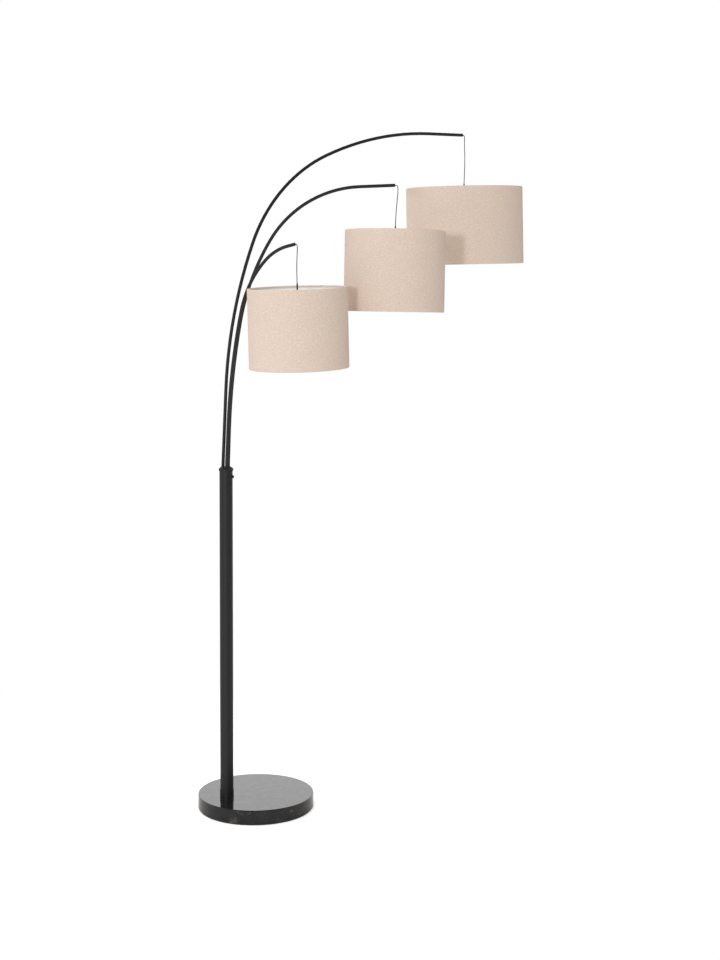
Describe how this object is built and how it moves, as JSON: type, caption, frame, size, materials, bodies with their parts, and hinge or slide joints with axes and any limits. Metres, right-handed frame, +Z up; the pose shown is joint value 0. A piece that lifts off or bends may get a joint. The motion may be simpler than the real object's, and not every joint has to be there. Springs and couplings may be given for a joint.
{
  "type": "tree floor lamp",
  "caption": "Floor lamp with a marble disc base, an off-centre post and bent arms of rising height, each with a linen drum shade hung on a short cord.",
  "frame": {"origin": "centre of the underside of the base, on the floor", "axes": "+Z up; +X from the post towards the middle of the base, so the post stands at -X"},
  "size_m": [1.0803, 0.6992, 1.9748],
  "materials": {
    "marble": "polished black marble with pale veins",
    "pad": "matt felted foam",
    "steel": "zinc plated",
    "black_metal": "satin black powder coat",
    "socket_metal": "turned",
    "black_plastic": "satin black moulding",
    "white_plastic": "matt white moulding",
    "cord_rubber": "matt black sheath",
    "brass": "bright pressed brass",
    "white_wire": "white enamelled wire",
    "liner": "matt white lining sheet",
    "linen": "plain woven beige linen"
  },
  "bodies": {
    "stand": {"marble_base": "marble", "base_pad": "pad", "base_stud": "steel", "base_washer": "steel", "base_nut": "steel", "foot_plug": "steel", "foot_ring": "black_metal", "post_tube": "black_metal", "arm_socket": "socket_metal", "post_cap": "black_metal", "lead_grommet": "black_plastic", "lead_splice": "white_plastic", "post_leads": "cord_rubber"},
    "clamp_screw": {"clamp_screw": "black_metal"},
    "short_arm": {"short_arm_tube": "black_metal", "short_arm_bush": "black_plastic", "short_arm_lead": "cord_rubber"},
    "short_pendant": {"short_cord": "cord_rubber"},
    "short_shade": {"short_cord_grip": "black_plastic", "short_holder_cap": "black_plastic", "short_holder_body": "black_plastic", "short_screw_shell": "brass", "short_centre_contact": "brass", "short_shade_fitter": "white_wire", "short_bottom_ring": "white_wire", "short_shade_liner": "liner", "short_shade_cover": "linen"},
    "short_nut": {"short_shade_nut": "black_plastic"},
    "middle_arm": {"middle_arm_tube": "black_metal", "middle_arm_bush": "black_plastic", "middle_arm_lead": "cord_rubber"},
    "middle_pendant": {"middle_cord": "cord_rubber"},
    "middle_shade": {"middle_cord_grip": "black_plastic", "middle_holder_cap": "black_plastic", "middle_holder_body": "black_plastic", "middle_screw_shell": "brass", "middle_centre_contact": "brass", "middle_shade_fitter": "white_wire", "middle_bottom_ring": "white_wire", "middle_shade_liner": "liner", "middle_shade_cover": "linen"},
    "middle_nut": {"middle_shade_nut": "black_plastic"},
    "long_arm": {"long_arm_tube": "black_metal", "long_arm_bush": "black_plastic", "long_arm_lead": "cord_rubber"},
    "long_pendant": {"long_cord": "cord_rubber"},
    "long_shade": {"long_cord_grip": "black_plastic", "long_holder_cap": "black_plastic", "long_holder_body": "black_plastic", "long_screw_shell": "brass", "long_centre_contact": "brass", "long_shade_fitter": "white_wire", "long_bottom_ring": "white_wire", "long_shade_liner": "liner", "long_shade_cover": "linen"},
    "long_nut": {"long_shade_nut": "black_plastic"}
  },
  "joints": [
    {"name": "clamp_screw_turn", "type": "hinge", "parent": "stand", "child": "clamp_screw", "pos_m": [-0.072, -0.01079, 0.972], "axis": [0.829, -0.5592, 0], "range_deg": [-360, 360]},
    {"name": "short_arm_swivel", "type": "hinge", "parent": "stand", "child": "short_arm", "pos_m": [-0.08863, -0.00898, 0.938], "axis": [0, 0, 1], "range_deg": [-90, 4]},
    {"name": "short_pendant_swing", "type": "hinge", "parent": "short_arm", "child": "short_pendant", "pos_m": [0.05232, -0.20298, 1.63983], "axis": [0.5731, -0.7888, 0.2224], "range_deg": [-12, 10]},
    {"name": "short_shade_tilt", "type": "hinge", "parent": "short_pendant", "child": "short_shade", "pos_m": [0.05683, -0.21275, 1.53183], "axis": [0.809, 0.5878, 0], "range_deg": [-6, 6]},
    {"name": "short_shade_nut_turn", "type": "hinge", "parent": "short_shade", "child": "short_nut", "pos_m": [0.0574, -0.21145, 1.46886], "axis": [-0.0254, 0.0018, 0.9997], "range_deg": [-360, 360]},
    {"name": "middle_arm_swivel", "type": "hinge", "parent": "stand", "child": "middle_arm", "pos_m": [-0.07991, 0.00394, 0.938], "axis": [0, 0, 1], "range_deg": [-4, 60]},
    {"name": "middle_pendant_swing", "type": "hinge", "parent": "middle_arm", "child": "middle_pendant", "pos_m": [0.38085, -0.12818, 1.80655], "axis": [0.9604, -0.2754, 0.0417], "range_deg": [-10, 12]},
    {"name": "middle_shade_tilt", "type": "hinge", "parent": "middle_pendant", "child": "middle_shade", "pos_m": [0.38166, -0.12279, 1.68905], "axis": [0.2756, 0.9613, 0], "range_deg": [-6, 6]},
    {"name": "middle_shade_nut_turn", "type": "hinge", "parent": "middle_shade", "child": "middle_nut", "pos_m": [0.38175, -0.12605, 1.62614], "axis": [0.0337, 0.0416, 0.9986], "range_deg": [-360, 360]},
    {"name": "long_arm_swivel", "type": "hinge", "parent": "stand", "child": "long_arm", "pos_m": [-0.09546, 0.00503, 0.938], "axis": [0, 0, 1], "range_deg": [-45, 60]},
    {"name": "long_pendant_swing", "type": "hinge", "parent": "long_arm", "child": "long_pendant", "pos_m": [0.72227, 0.16398, 1.96906], "axis": [0.9816, 0.1908, -0.0079], "range_deg": [-15, 15]},
    {"name": "long_shade_tilt", "type": "hinge", "parent": "long_pendant", "child": "long_shade", "pos_m": [0.7307, 0.16858, 1.82006], "axis": [-0.1908, 0.9816, 0], "range_deg": [-6, 6]},
    {"name": "long_shade_nut_turn", "type": "hinge", "parent": "long_shade", "child": "long_nut", "pos_m": [0.73069, 0.16688, 1.75709], "axis": [-0.0115, 0.0247, 0.9996], "range_deg": [-360, 360]}
  ]
}
